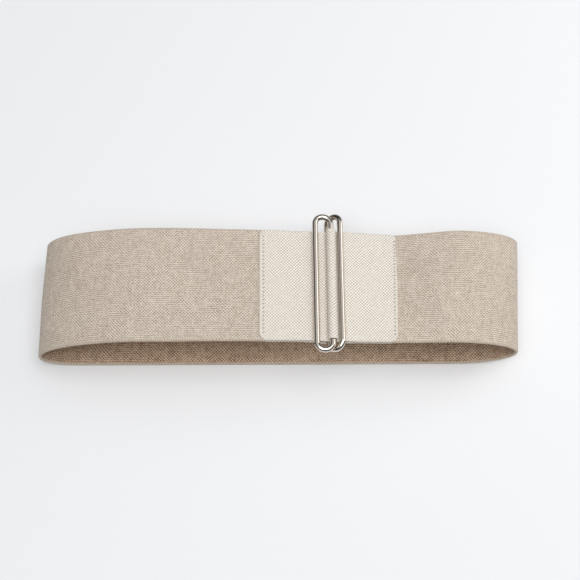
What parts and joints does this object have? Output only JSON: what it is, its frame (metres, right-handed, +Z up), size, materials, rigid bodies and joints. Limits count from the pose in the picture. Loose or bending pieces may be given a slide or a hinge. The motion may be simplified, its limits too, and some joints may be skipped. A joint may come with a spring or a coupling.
{
  "type": "elastic stretch belt",
  "caption": "Wide woven elastic waist belt fastened by two interlocked oval wire rings held in folded sheet tabs, lying as a flattened loop.",
  "frame": {"origin": "on the table under the centre of the whole belt's box", "axes": "+X along the flattened loop, +Y across the belt's width, +Z up from the table"},
  "size_m": [0.314, 0.0948, 0.0579],
  "materials": {
    "elastic": "matte taupe melange rib-woven elastic",
    "tab_sheet": "matte cream twill-textured sheet",
    "ring_wire": "polished nickel plate"
  },
  "bodies": {
    "root": {"elastic_band": "elastic", "left_tab": "tab_sheet", "right_tab": "tab_sheet", "left_ring": "ring_wire", "right_ring": "ring_wire"}
  },
  "joints": []
}
